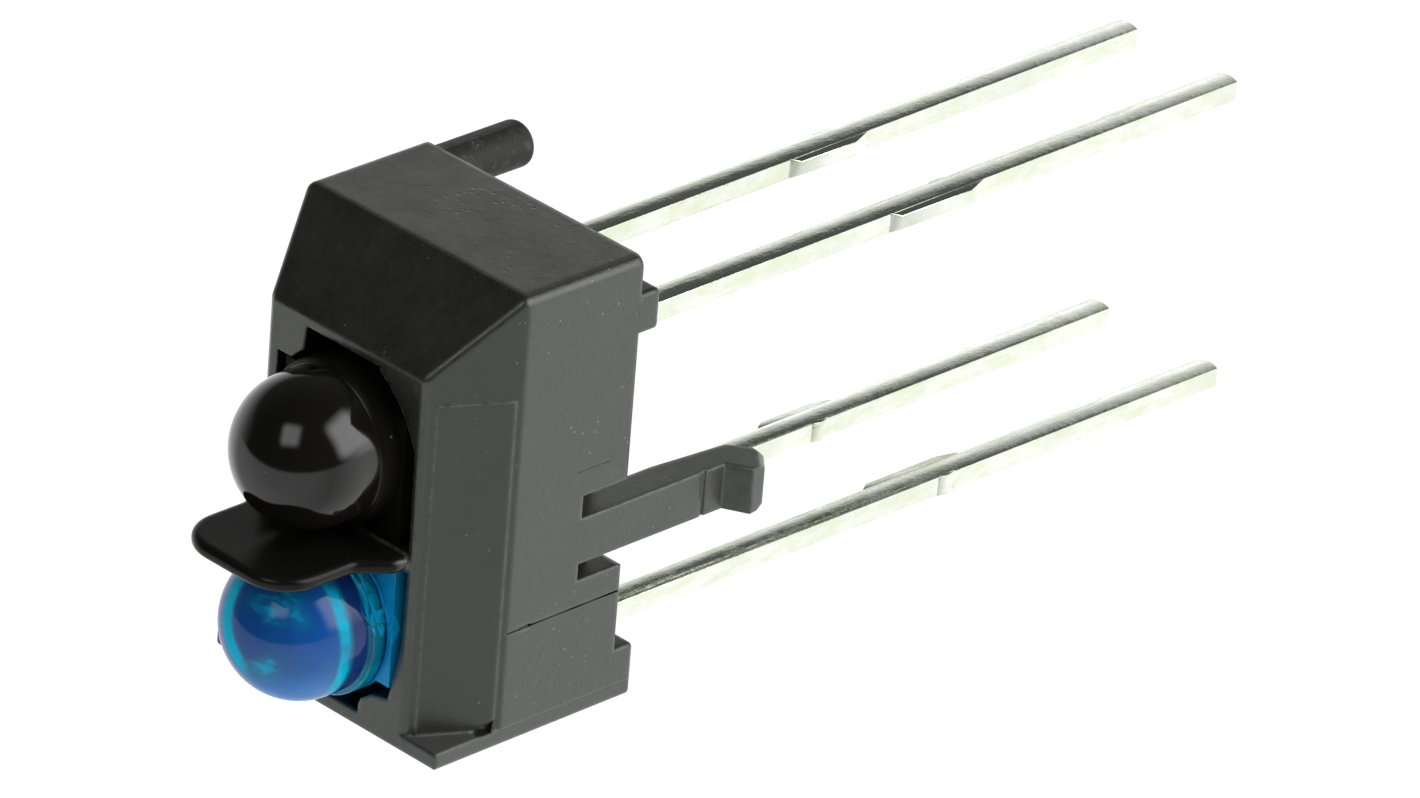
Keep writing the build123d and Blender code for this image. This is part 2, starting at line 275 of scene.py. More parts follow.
class Tree:
    """Short ways to add nodes to a material, a world, a lamp or a geometry group."""

    def __init__(self, node_tree):
        self.nodes = node_tree.nodes
        self.links = node_tree.links

    def put(self, value, socket):
        """Joins an output to a socket, or sets the socket; a colour may be given as one grey."""
        if isinstance(value, bpy.types.NodeSocket):
            self.links.new(value, socket)
            return
        if socket.type == "RGBA":
            value = (*value, 1) if isinstance(value, tuple) else (value, value, value, 1)
        socket.default_value = value

    def feed(self, node, **inputs):
        """Puts values into a node's inputs; underscores stand for the spaces in their names."""
        for key, value in inputs.items():
            self.put(value, node.inputs[key.replace("_", " ")])

    def add(self, kind, **inputs):
        node = self.nodes.new(kind)
        self.feed(node, **inputs)
        return node

    def math(self, operation, *values):
        node = self.nodes.new("ShaderNodeMath")
        node.operation = operation
        for value, socket in zip(values, node.inputs):
            self.put(value, socket)
        return node.outputs[0]

    def times(self, product, *factors):
        for factor in factors:
            product = self.math("MULTIPLY", product, factor)
        return product

    def largest(self, most, *others):
        for other in others:
            most = self.math("MAXIMUM", most, other)
        return most

    def without(self, share):
        return self.math("SUBTRACT", 1.0, share)

    def vector_math(self, operation, *values):
        node = self.nodes.new("ShaderNodeVectorMath")
        node.operation = operation
        for value, socket in zip(values, node.inputs):
            self.put(value, socket)
        is_number = operation in ("DOT_PRODUCT", "DISTANCE")
        return node.outputs["Value" if is_number else "Vector"]

    def share_between(self, value, start, end, curve="LINEAR"):
        """Takes a value from start..end to 0..1."""
        node = self.add("ShaderNodeMapRange", Value=value, From_Min=start, From_Max=end)
        node.interpolation_type = curve
        return node.outputs["Result"]

    def ramp(self, source, stops):
        """Colours or greys by place along a value from 0 to 1."""
        node = self.add("ShaderNodeValToRGB", Fac=source)
        elements = node.color_ramp.elements
        for i, (place, value) in enumerate(stops):
            stop = elements[i] if i < 2 else elements.new(place)
            stop.position = place
            stop.color = (*value, 1) if isinstance(value, tuple) else (value, value, value, 1)
        return node.outputs["Color"]

    def mix(self, share, a, b, blend="MIX"):
        node = self.add("ShaderNodeMix", Factor=share)
        node.data_type = "RGBA"
        node.blend_type = blend
        for key, value in (("A", a), ("B", b)):
            self.put(value, next(s for s in node.inputs if s.name == key and s.type == "RGBA"))
        return next(s for s in node.outputs if s.type == "RGBA")

    def coats(self, base, *coats):
        """Lays coats over a base in turn, each a mask and the colour or level that it brings."""
        for mask, coat in coats:
            base = self.mix(mask, base, coat)
        return base

    def give_way(self, share, first, second):
        """One shader that gives way to another by that share."""
        node = self.nodes.new("ShaderNodeMixShader")
        for value, socket in zip((share, first, second), node.inputs):
            self.put(value, socket)
        return node.outputs[0]


class Finish(Tree):
    """A node material under construction. Its patterns lie in the object's own coordinates."""

    def __init__(self, name):
        self.material = bpy.data.materials.new(name)
        self.material.use_nodes = True
        super().__init__(self.material.node_tree)
        self.shader = self.nodes["Principled BSDF"]
        self.output = self.nodes["Material Output"]
        self.coords = self.add("ShaderNodeTexCoord").outputs["Object"]

    def shade(self, **inputs):
        self.feed(self.shader, **inputs)

    def noise(self, scale, detail=4.0, rough=0.6, vector=None):
        place = vector or self.coords
        node = self.add(
            "ShaderNodeTexNoise", Vector=place, Scale=scale, Detail=detail, Roughness=rough
        )
        return node.outputs["Fac"]

    def cells(self, scale):
        """The distance from the nearest of many scattered points."""
        node = self.add("ShaderNodeTexVoronoi", Vector=self.coords, Scale=scale)
        return node.outputs["Distance"]

    def specks(self, scale, inner, outer):
        """1 at scattered points, falling to 0 between two distances from them."""
        return self.ramp(self.cells(scale), [(inner, 1.0), (outer, 0.0)])

    def stretch(self, factors, turn=(0, 0, 0)):
        node = self.add("ShaderNodeMapping", Vector=self.coords, Scale=factors, Rotation=turn)
        return node.outputs["Vector"]

    def along(self, axis):
        return self.add("ShaderNodeSeparateXYZ", Vector=self.coords).outputs[axis]

    def above(self, low, high):
        """Rises from 0 to 1 between two heights, in millimetres."""
        return self.share_between(self.along("Z"), low * MM, high * MM)

    def slab(self, axis, middle, half):
        """1 within half of the middle along an axis, in millimetres, and 0 beyond."""
        return self.math("COMPARE", self.along(axis), middle * MM, half * MM)

    def box(self, **slabs):
        """1 inside a box, given by the middle and half size of each axis, and 0 outside."""
        return self.times(*[self.slab(axis, *span) for axis, span in slabs.items()])

    def round_about(self, point, radius):
        """1 at a point in millimetres, falling to 0 at that radius."""
        away = self.vector_math("DISTANCE", self.coords, tuple(c * MM for c in point))
        return self.share_between(away, radius * MM, 0.0)

    def rounded_normal(self, radius, samples):
        """The surface's direction, with edges rounded by that radius in millimetres."""
        node = self.add("ShaderNodeBevel", Radius=radius * MM)
        node.samples = samples
        return node.outputs["Normal"]

    def ridge_mask(self, radius):
        """1 on the ridges, where the surface turns within that radius, and 0 on the flats."""
        face = self.add("ShaderNodeNewGeometry").outputs["Normal"]
        same = self.vector_math("DOT_PRODUCT", self.rounded_normal(radius, 6), face)
        return self.ramp(same, [(0.80, 1.0), (0.975, 0.0)])

    def bump(self, height, depth, strength=1.0, below=None):
        """A relief that is depth millimetres deep, on top of another where one is given."""
        node = self.add("ShaderNodeBump", Height=height, Distance=depth * MM, Strength=strength)
        if below is not None:
            self.feed(node, Normal=below)
        return node.outputs["Normal"]


# Finishes


def moulded_black():
    """Black compound: grain, pits and bumps in patches, edges pale with wear and painted
    highlight, painted shade in the pits and along a crack, painted light on the end faces, and a
    glossy tongue.
    """
    f = Finish("moulded_black_plastic")
    clouds = f.noise(900, 5, 0.65)
    mottle = f.noise(5200, 4, 0.7)
    tongue = f.above(FRONT_Z + 0.05, FRONT_Z + 0.30)
    matt = f.without(tongue)

    # Pits: a real relief below, and darker in colour too, which is painted shade in them
    pit_patches = f.ramp(f.noise(380, 3), [(0.56, 0.0), (0.70, 0.9)])
    pits = f.times(f.specks(4700, 0.08, 0.24), pit_patches, matt)
    lump_patches = f.ramp(f.noise(520, 3), [(0.52, 0.0), (0.64, 1.0)])
    lumps = f.times(f.specks(2900, 0.10, 0.26), lump_patches)
    dust_patches = f.ramp(f.noise(260, 3), [(0.44, 0.15), (0.58, 1.0)])
    dust = f.times(f.specks(3600, 0.05, 0.09), dust_patches)
    strokes = f.noise(2600, 4, 0.7, f.stretch((1, 1, 0.12)))
    scuffs = f.ramp(strokes, [(0.62, 0.0), (0.74, 1.0)])

    # A dark vertical line on the side that reflects nothing: painted shade along a fine crack
    seam_line = f.box(
        X=(SEAM_X, SEAM_HALF_WIDTH), Y=(-SIDE_Y, 0.08), Z=(SEAM_MID_Z, SEAM_HALF_HEIGHT)
    )
    shaded_seam = f.times(seam_line, f.ramp(f.noise(1500, 2), [(0.35, 0.55), (0.6, 0.95)]))
    unmarked = f.largest(shaded_seam, f.slab("X", PLATE_BACK_X, 0.07))
    # Pale ridges: partly real wear, partly a painted highlight along the edges
    edge_patches = f.ramp(mottle, [(0.38, 0.1), (0.62, 1.0)])
    worn_and_highlit = f.times(f.ridge_mask(RIDGE_RADIUS), edge_patches, f.without(unmarked))
    # The end face and the back of the end plate, which face the light: painted light makes them a
    # paler grey
    end_patches = f.ramp(f.noise(700, 4, 0.7), [(0.36, 0.25), (0.62, 1.0)])
    lit_end_face = f.times(f.slab("X", END_X, 0.02), end_patches)
    lit_plate_back = f.box(X=(PLATE_BACK_X, 0.01), Y=(-SIDE_Y, 0.85))
    peg = f.box(
        X=(PEG_X, PEG_HALF_WIDTH), Y=(PEG_Y, PEG_HALF_WIDTH), Z=(PEG_MID_Z, PEG_HALF_HEIGHT)
    )

    black = f.ramp(clouds, [(0.3, (0.0100, 0.0103, 0.0095)), (0.7, (0.0145, 0.0149, 0.0138))])
    colour = f.coats(
        black,
        (f.times(scuffs, 0.25), (0.05, 0.05, 0.047)),
        (f.times(dust, 0.65), (0.24, 0.24, 0.22)),
        (f.times(worn_and_highlit, 0.7), (0.22, 0.22, 0.21)),
        (f.times(pits, 0.4), 0.006),
        (lit_end_face, (0.052, 0.053, 0.048)),
        (lit_plate_back, (0.060, 0.061, 0.057)),
        (shaded_seam, 0.002),
        (f.times(tongue, 0.85), (0.006, 0.006, 0.0056)),
    )
    uneven = f.ramp(f.mix(0.5, clouds, mottle), [(0.36, 0.28), (0.64, 0.46)])
    dull_peg = f.times(peg, f.ramp(mottle, [(0.5, 1.0), (0.62, 0.3)]))
    f.shade(
        Base_Color=colour,
        Roughness=f.coats(uneven, (peg, 0.62), (tongue, 0.20)),
        Specular_IOR_Level=f.coats(0.5, (dull_peg, 0.24), (shaded_seam, 0.0), (tongue, 0.10)),
        Specular_Tint=(0.96, 1.0, 0.91),
        IOR=1.8,
    )

    relief = f.rounded_normal(EDGE_ROUNDING, 8)
    for height, depth in (
        (f.times(f.noise(16000, 3), matt), 0.004),
        (f.times(f.noise(2400, 3), matt), 0.006),
        (lumps, 0.005),
        (f.without(pits), 0.009),
    ):
        relief = f.bump(height, depth, 1.0, relief)
    f.shade(Normal=relief)
    return f.material


def blue_lens():
    """Clear blue epoxy with a haze of dye; painted glints, a painted pale side and painted shade.
    """
    f = Finish("clear_blue_epoxy")
    f.shade(
        Base_Color=(0.20, 0.78, 1.0),
        IOR=1.52,
        Transmission_Weight=1.0,
        Roughness=f.ramp(f.noise(700, 3), [(0.3, 0.01), (0.8, 0.05)]),
        Normal=f.bump(f.noise(500, 2), 0.006, 0.6),
    )
    level = f.above(SHOULDER_Z, LENS_TOP_Z)

    def by_height(stops):
        """A ramp over heights in millimetres."""
        reach = LENS_TOP_Z - SHOULDER_Z
        return f.ramp(level, [((z - SHOULDER_Z) / reach, value) for z, value in stops])

    # Dye: its colour by height, with painted shade in the dark blue-green on the block below the
    # collar and the dark blue over the collar and barrel, and how much of it hides what is behind
    shaded_teal, blue = (0.012, 0.17, 0.25), (0.01, 0.42, 0.90)
    shaded_navy, core = (0.01, 0.05, 0.26), (0.02, 0.22, 0.88)
    cover = {shaded_teal: 0.80, blue: 0.72, shaded_navy: 0.45, core: 0.34}
    bands = [
        (COLLAR_LOW_Z - 0.22, shaded_teal),
        (COLLAR_LOW_Z - 0.08, blue),
        (COLLAR_LOW_Z + 0.06, blue),
        (COLLAR_LOW_Z + 0.10, shaded_navy),
        (LENS_CENTRE_Z + 0.05, shaded_navy),
        (LENS_CENTRE_Z + 0.45, core),
    ]

    # Painted light: a bright ring at the collar and one where the dome begins
    uneven = f.ramp(f.noise(900, 2), [(0.36, 0.45), (0.54, 1.0)])
    collar_ring = by_height([
        (COLLAR_TOP_Z - 0.28, 0.0),
        (COLLAR_TOP_Z - 0.22, 1.0),
        (COLLAR_TOP_Z, 1.0),
        (COLLAR_TOP_Z + 0.08, 0.0),
    ])
    dome_ring = by_height([
        (LENS_CENTRE_Z - 0.05, 0.0),
        (LENS_CENTRE_Z + 0.10, 0.85),
        (LENS_CENTRE_Z + 0.25, 0.85),
        (LENS_CENTRE_Z + 0.36, 0.0),
    ])
    collar = f.times(collar_ring, uneven)
    dome_glint = f.times(dome_ring, uneven)

    # Painted light: a curved line over the dome, and bright streaks in two patches; their places
    # are fixed on the lens
    middle = (EMITTER_X * MM, 0.0, LENS_CENTRE_Z * MM)
    outward = f.vector_math("NORMALIZE", f.vector_math("SUBTRACT", f.coords, middle))

    def towards(direction):
        return f.vector_math("DOT_PRODUCT", outward, direction)

    arc_line = [(0.34, 0.0), (0.42, 1.0), (0.58, 1.0), (0.66, 0.0)]
    arc_line = f.ramp(towards(ARC_AXIS), arc_line)
    arc_end = f.ramp(towards(ARC_END), [(0.45, 0.0), (0.72, 0.9)])
    arc_glint = f.times(arc_line, arc_end)
    streaks = f.noise(1500, 3, 0.5, f.stretch((1, 0.35, 1), (0.5, 0.2, 0.9)))
    streaks = f.ramp(streaks, [(0.44, 0.0), (0.60, 1.0)])
    near_glint_patch = f.round_about((-1.70, -0.50, 6.75), 0.75)
    low_glint_patch = f.round_about((-2.67, -0.43, 6.96), 0.55)
    clouds = f.ramp(f.largest(near_glint_patch, low_glint_patch), [(0.0, 0.0), (0.5, 1.0)])
    glint_wisps = f.times(streaks, clouds)
    mottle = f.noise(4200, 3, 0.6, f.stretch((1, 1, 0.25)))
    mottle = f.ramp(mottle, [(0.3, 0.85), (0.6, 1.0)])
    painted_glint = f.times(f.largest(collar, dome_glint, arc_glint, glint_wisps), mottle)

    # Painted light: the side of the dome away from the barrier is coloured paler
    lit_side = f.ramp(towards(LIT_SIDE), [(0.25, 0.0), (0.85, 0.8)])
    lit_side = f.times(lit_side, f.above(LENS_CENTRE_Z, LENS_CENTRE_Z + 0.4))

    # The painted light comes in as a cyan coat over the dye colour
    colour = f.coats(
        by_height(bands), (lit_side, (0.12, 0.42, 0.98)), (painted_glint, (0.0, 0.72, 1.0))
    )
    dye = f.add("ShaderNodeBsdfDiffuse", Color=colour)
    share = by_height([(z, cover[dye_colour]) for z, dye_colour in bands])
    share = f.largest(
        f.times(share, f.without(f.times(collar, 0.35))),
        f.times(dome_glint, 0.96),
        f.times(lit_side, 0.75),
        f.times(f.largest(arc_glint, glint_wisps), 0.96),
    )
    soak = f.add("ShaderNodeVolumeAbsorption", Color=(0.0, 0.87, 0.98), Density=1100)
    f.feed(
        f.output,
        Surface=f.give_way(share, f.shader.outputs[0], dye.outputs[0]),
        Volume=soak.outputs["Volume"],
    )
    return f.material


def black_lens():
    """Epoxy that is black to the eye, glossy above the collar, with specks and hairline marks."""
    f = Finish("black_epoxy")
    hairlines = f.noise(3000, 3, 0.6, f.stretch((0.15, 1, 1), (0.3, 0.2, 0.5)))
    hairlines = f.ramp(hairlines, [(0.68, 0.0), (0.75, 1.0)])
    glossy = f.above(COLLAR_TOP_Z - 0.02, COLLAR_TOP_Z + 0.06)
    dust = f.times(f.specks(1500, 0.03, 0.05), 0.5)
    polish = f.mix(f.times(hairlines, 0.6), 0.09, 0.25)
    f.shade(
        Base_Color=f.mix(dust, (0.006, 0.0055, 0.005), (0.2, 0.2, 0.19)),
        Roughness=f.mix(glossy, 0.5, polish),
        Specular_IOR_Level=f.mix(glossy, 0.05, 0.5),
        Normal=f.bump(f.noise(450, 2), 0.005, 0.5),
        IOR=1.52,
    )
    return f.material


def tinned_lead():
    """Tin-plated iron: bright, with drawn scratches along it and ragged yellow-green stains."""
    f = Finish("tinned_lead")
    drawn = f.noise(9000, 3, 0.6, f.stretch((1, 1, 0.05)))
    dull = f.noise(700, 4, 0.6)
    stain = f.noise(3200, 5, 0.75, f.stretch((1, 1, 0.35)))
    stain = f.ramp(stain, [(0.46, 0.0), (0.60, 1.0)])
    tin = f.ramp(dull, [(0.3, (0.66, 0.68, 0.60)), (0.7, (0.80, 0.82, 0.76))])
    dents = f.bump(f.noise(1400, 3), 0.010, 0.7)
    crust = f.bump(stain, 0.004, 0.6, dents)
    f.shade(
        Base_Color=f.mix(f.times(stain, 0.55), tin, (0.60, 0.66, 0.44)),
        Roughness=f.ramp(dull, [(0.25, 0.07), (0.8, 0.18)]),
        Normal=f.bump(drawn, 0.003, 1.0, crust),
        Metallic=1.0,
    )
    return f.material


def polished_silicon():
    f = Finish("silicon_chip")
    grid = f.ramp(f.cells(9000), [(0.2, (0.10, 0.11, 0.14)), (0.7, (0.17, 0.18, 0.22))])
    f.shade(Base_Color=grid, Roughness=0.2, Metallic=0.6)
    return f.material


def silver_adhesive():
    f = Finish("silver_adhesive")
    grains = f.ramp(f.noise(9000), [(0.3, 0.4), (0.7, 0.65)])
    relief = f.bump(f.noise(12000), 0.01)
    f.shade(Base_Color=grains, Normal=relief, Roughness=0.5, Metallic=0.8)
    return f.material


def gold_wire():
    f = Finish("gold_wire")
    gold = f.ramp(f.noise(8000), [(0.3, (0.85, 0.6, 0.25)), (0.7, (0.95, 0.72, 0.35))])
    f.shade(Base_Color=gold, Roughness=0.25, Metallic=1.0)
    return f.material


finishes = {
    "black_plastic": moulded_black(),
    "blue_epoxy": blue_lens(),
    "black_epoxy": black_lens(),
    "tinned_steel": tinned_lead(),
    "silicon": polished_silicon(),
    "silver_adhesive": silver_adhesive(),
    "gold_wire": gold_wire(),
}


def paint(obj, slot):
    obj.data.materials.clear()
    obj.data.materials.append(finishes[slot])


def dress(obj, slot, node):
    """Ties a piece to the part, gives it its finish and lets it stand for its solid."""
    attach(obj, "root")
    paint(obj, slot)
    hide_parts(node)


# Housing


def housing_shell():
    """The housing's solid, merged into large faces, with its flats kept flat."""
    bm = bmesh.new()
    bm.from_mesh(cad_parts["housing"].data)
    bmesh.ops.remove_doubles(bm, verts=bm.verts[:], dist=WELD_DISTANCE)
    flat = math.radians(FLAT_ANGLE)
    bmesh.ops.dissolve_limit(bm, angle_limit=flat, verts=bm.verts[:], edges=bm.edges[:])
    return steady(mesh_object("housing_shell", bm), SMOOTH_ANGLE)


# Lamps


# sense is 1 or -1, the way along x from the barrier to the lamp
Lamp = namedtuple("Lamp", "x sense chip_y has_cup")
EMITTER = Lamp(x=EMITTER_X, sense=-1, chip_y=0.0, has_cup=True)
DETECTOR = Lamp(x=DETECTOR_X, sense=1, chip_y=0.25, has_cup=False)


def lens_profile():
    """Radius and height from the foot of the collar over the dome to its top."""
    foot = COLLAR_LOW_Z - COLLAR_SINK
    points = [
        (0.0, foot),
        (COLLAR_RADIUS, foot),
        (COLLAR_RADIUS, COLLAR_LOW_Z),
        (COLLAR_RADIUS, COLLAR_TOP_Z - COLLAR_BEVEL),
        (COLLAR_RADIUS - COLLAR_BEVEL, COLLAR_TOP_Z),
        (LENS_RADIUS + COLLAR_FILLET, COLLAR_TOP_Z),
        (LENS_RADIUS, COLLAR_TOP_Z + COLLAR_FILLET),
    ]
    barrel = LENS_CENTRE_Z - COLLAR_TOP_Z - BARREL_START
    for i in range(4):
        points.append((LENS_RADIUS, COLLAR_TOP_Z + BARREL_START + barrel * i / 4))
    for i in range(DOME_STEPS):
        a = math.pi / 2 * i / DOME_STEPS
        points.append((LENS_RADIUS * math.cos(a), LENS_CENTRE_Z + LENS_RADIUS * math.sin(a)))
    points.append((0.0, LENS_TOP_Z))
    return points


def lens_body(name, lamp):
    """Dome, collar and the square block below as one closed form, cut flat beside the barrier."""
    wall_u = abs(lamp.x - BARRIER_X) - WALL_THICK / 2 - LAMP_GAP
    bm = bmesh.new()
    lathe_into(bm, lens_profile(), 0, LENS_STEPS)
    lens = mesh_object(name, bm)
    for form, operation, low, high in (
        ("trim", "INTERSECT", (-wall_u, -TRIM_SIDE, 0), (TRIM_SIDE, TRIM_SIDE, TRIM_TOP_Z)),
        (
            "neck",
            "UNION",
            (-wall_u, -NECK_HALF_WIDTH, SHOULDER_Z - NECK_SINK),
            (NECK_END, NECK_HALF_WIDTH, COLLAR_LOW_Z),
        ),
        (
            "block",
            "UNION",
            (-wall_u, -BLOCK_HALF_WIDTH, LAMP_REAR_Z),
            (BLOCK_REACH, BLOCK_HALF_WIDTH, SHOULDER_Z),
        ),
    ):
        lens = joined(lens, box_object(form, low, high), operation)
    turn = Matrix.Identity(4) if lamp.sense > 0 else Matrix.Rotation(math.pi, 4, "Z")
    lens.data.transform(Matrix.Translation((lamp.x * MM, 0, 0)) @ turn)
    return soften(lens, LENS_EDGE, LENS_BEVEL_ANGLE)


# Leads and bond wires


def bar_on_path_group():
    """Geometry nodes: a square bar or a round wire that follows the edges it is given."""
    group = bpy.data.node_groups.new("bar_on_path", "GeometryNodeTree")
    kinds = {"Path": "Geometry", "Width": "Float", "Sides": "Int", "Finish": "Material"}
    identifiers = {}
    for name, kind in kinds.items():
        socket_type = "NodeSocket" + kind
        made = group.interface.new_socket(name, in_out="INPUT", socket_type=socket_type)
        identifiers[name] = made.identifier
    group.interface.new_socket("Bar", in_out="OUTPUT", socket_type="NodeSocketGeometry")

    tree = Tree(group)
    given = tree.add("NodeGroupInput").outputs
    half_turn = tree.math("DIVIDE", math.pi, given["Sides"])
    flat_share = tree.times(tree.math("COSINE", half_turn), 2.0)
    radius = tree.math("DIVIDE", given["Width"], flat_share)
    ring = tree.add(
        "GeometryNodeCurvePrimitiveCircle", Resolution=given["Sides"], Radius=radius
    )
    turn = tree.add("ShaderNodeCombineXYZ", Z=half_turn)
    square = tree.add(
        "GeometryNodeTransform", Geometry=ring.outputs["Curve"], Rotation=turn.outputs[0]
    )
    path = tree.add("GeometryNodeMeshToCurve", Mesh=given["Path"])
    sweep = tree.add(
        "GeometryNodeCurveToMesh",
        Curve=path.outputs["Curve"],
        Profile_Curve=square.outputs["Geometry"],
        Fill_Caps=True,
    )
    real = tree.add("GeometryNodeRealizeInstances", Geometry=sweep.outputs["Mesh"])
    painted = tree.add(
        "GeometryNodeSetMaterial", Geometry=real.outputs["Geometry"], Material=given["Finish"]
    )
    tree.add("NodeGroupOutput", Bar=painted.outputs["Geometry"])
    return group, identifiers


BAR_GROUP, BAR_INPUTS = bar_on_path_group()


def bar_on_path(name, points, width, sides, slot):
    """points are millimetres; width is across the flats of the bar, or the wire's diameter."""
    mesh = bpy.data.meshes.new(name + "_path")
    edges = [(i, i + 1) for i in range(len(points) - 1)]
    mesh.from_pydata([tuple(c * MM for c in p) for p in points], edges, [])
    obj = linked(name, mesh)
    grow = obj.modifiers.new("bar", "NODES")
    grow.node_group = BAR_GROUP
    grow[BAR_INPUTS["Width"]] = width * MM
    grow[BAR_INPUTS["Sides"]] = sides
    grow[BAR_INPUTS["Finish"]] = finishes[slot]
    return settle(obj)


# The part of a lead below its lamp. u is the distance from the lens axis away from the barrier;
# tie_side is 1 or -1, the way along y to the stub; tie_high and tie_low are the stub's ends.
Tail = namedtuple("Tail", "u_top u_tip y z_tip tie_side tie_high tie_low")


def tie_stub(bm, x_mid, tail):
    """The stub of the cut tie bar on one flat of a lead, and the small tick on the other.

    A stub on the near flat follows the crown of the lead's broad faces; one on the far flat
    stands level.
    """
    half = LEAD_SIZE / 2
    y, high, low = tail.y, tail.tie_high, tail.tie_low
    side = y + tail.tie_side * half
    out = side + tail.tie_side * STUB_OUT
    far = y - tail.tie_side * half
    far_out = far - tail.tie_side * TICK_OUT
    stub = [
        (y, high),
        (side, high),
        (out, high - STUB_HIGH_SLOPE),
        (out, low + STUB_LOW_SLOPE),
        (side, low),
        (y, low),
    ]
    tick = [
        (y, low + TICK_HIGH),
        (far, low + TICK_HIGH),
        (far_out, low + TICK_POINT),
        (far, low + TICK_LOW),
        (y, low + TICK_LOW),
    ]
    for form in (stub, tick):
        fall = [((a - y) / half) ** 2 if tail.tie_side < 0 else 1 for a, _ in form]
        reach = [half - LEAD_CROWN * k + (STUB_LIFT if k else -STUB_SINK) for k in fall]
        near, away = (
            [
                bm.verts.new(((x_mid + way * r) * MM, a * MM, b * MM))
                for (a, b), r in zip(form, reach)
            ]
            for way in (-1, 1)
        )
        bm.faces.new(near)
        bm.faces.new(away[::-1])
        for i in range(len(form)):
            j = (i + 1) % len(form)
            bm.faces.new((near[i], near[j], away[j], away[i]))


def cup_into(bm, x, top_z):
    """The reflector cup that holds the emitter's chip."""
    floor_z = top_z - CUP_DEPTH
    profile = [
        (0, HEAD_LOW_Z),
        (CUP_RADIUS, HEAD_LOW_Z),
        (CUP_RADIUS, top_z),
        (CUP_RIM_RADIUS, top_z),
        (CUP_FLOOR_RADIUS, floor_z),
        (0, floor_z),
    ]
    lathe_into(bm, profile, x, CUP_STEPS)


def crown_tail(bm, x_top, x_tip, y, z_tip):
    """Rounds the two broad faces of a tail a little, as the punch leaves them."""
    half = LEAD_SIZE / 2
    for strip in range(1, CROWN_STRIPS):
        geom = bm.verts[:] + bm.edges[:] + bm.faces[:]
        cut = Vector((0, (y - half + LEAD_SIZE * strip / CROWN_STRIPS) * MM, 0))
        bmesh.ops.bisect_plane(bm, geom=geom, dist=1e-8, plane_co=cut, plane_no=(0, 1, 0))
    for v in bm.verts:
        if v.co.z > (LAMP_REAR_Z + 0.01) * MM:
            continue
        down = (LAMP_REAR_Z - v.co.z / MM) / (LAMP_REAR_Z - z_tip)
        off = v.co.x / MM - (x_top + (x_tip - x_top) * down)
        across = (v.co.y / MM - y) / half
        v.co.x -= math.copysign(LEAD_CROWN * across * across, off) * MM


def lead(node, tail, lamp, holds_chip):
    """A lead from its tip up to the chip's head, or to the post that the bond wire ends on."""
    x_top = lamp.x + lamp.sense * tail.u_top
    x_tip = lamp.x + lamp.sense * tail.u_tip
    path = [
        (x_tip, tail.y, tail.z_tip),
        (x_top, tail.y, LAMP_REAR_Z),
        (x_top, tail.y, BRIDGE_Z),
        (lamp.x, tail.y, BRIDGE_Z),
    ]
    if holds_chip:
        path += [(lamp.x, 0, BRIDGE_Z), (lamp.x, 0, HEAD_LOW_Z + HEAD_OVERLAP)]
    else:
        post_y = math.copysign(POST_Y, tail.y)
        path += [(lamp.x, post_y, BRIDGE_Z), (lamp.x, post_y, CHIP_TOP_Z)]
    name = node + "_bar"
    bar = bar_on_path(name, path, LEAD_SIZE, 4, "tinned_steel")
    bm = bmesh.new()
    bm.from_mesh(bar.data)
    crown_tail(bm, x_top, x_tip, tail.y, tail.z_tip)
    drop = (LAMP_REAR_Z - (tail.tie_high + tail.tie_low) / 2) / (LAMP_REAR_Z - tail.z_tip)
    tie_stub(bm, x_top + (x_tip - x_top) * drop, tail)
    if holds_chip and lamp.has_cup:
        cup_into(bm, lamp.x, HEAD_TOP_Z + CUP_DEPTH)
    elif holds_chip:
        low = (lamp.x - PLATE_HALF_X, -PLATE_HALF_Y, HEAD_LOW_Z)
        box_into(bm, low, (lamp.x + PLATE_HALF_X, PLATE_HALF_Y, HEAD_TOP_Z))
    bpy.data.objects.remove(bar)
    bar = soften(mesh_object(name, bm), LEAD_EDGE, LEAD_BEVEL_ANGLE)
    dress(bar, "tinned_steel", node)


def bond_wire(name, node, lamp):
    """A loop of wire from the chip to the post."""
    start, end = lamp.sense * lamp.chip_y, lamp.sense * POST_Y
    rise = abs(end - start) / 2
    path = []
    for i in range(WIRE_STEPS + 1):
        a = math.pi * i / WIRE_STEPS
        y = (start + end) / 2 - math.cos(a) * (end - start) / 2
        path.append((lamp.x, y, CHIP_TOP_Z + rise * math.sin(a)))
    wire = bar_on_path(name, path, WIRE_SIZE, WIRE_SIDES, "gold_wire")
    dress(wire, "gold_wire", node)


dress(housing_shell(), "black_plastic", "housing")
dress(lens_body("emitter_lens", EMITTER), "blue_epoxy", "emitter_body")
dress(lens_body("detector_lens", DETECTOR), "black_epoxy", "detector_body")

# Each lead: its lamp, whether it holds the chip, where its tail goes and where the tie bar was
HALF_PITCH = LEAD_PITCH / 2
TOP = LEAD_OFFSET
for node, lamp, holds_chip, tail in (
    (
        "detector_emitter_lead",
        DETECTOR,
        False,
        Tail(TOP, TOP + 0.17, HALF_PITCH, -16.4, -1, -7.15, -9.20),
    ),
    (
        "detector_collector_lead",
        DETECTOR,
        True,
        Tail(TOP - 0.09, TOP + 0.04, -HALF_PITCH, -16.5, -1, -7.25, -9.70),
    ),
    (
        "emitter_anode_lead",
        EMITTER,
        False,
        Tail(TOP, TOP + 0.08, -HALF_PITCH, -16.8, 1, -7.70, -10.20),
    ),
    (
        "emitter_cathode_lead",
        EMITTER,
        True,
        Tail(TOP - 0.25, TOP - 0.27, HALF_PITCH, -16.4, 1, -7.40, -9.35),
    ),
):
    lead(node, tail, lamp, holds_chip)
bond_wire("detector_wire_loop", "detector_bond_wire", DETECTOR)
bond_wire("emitter_wire_loop", "emitter_bond_wire", EMITTER)
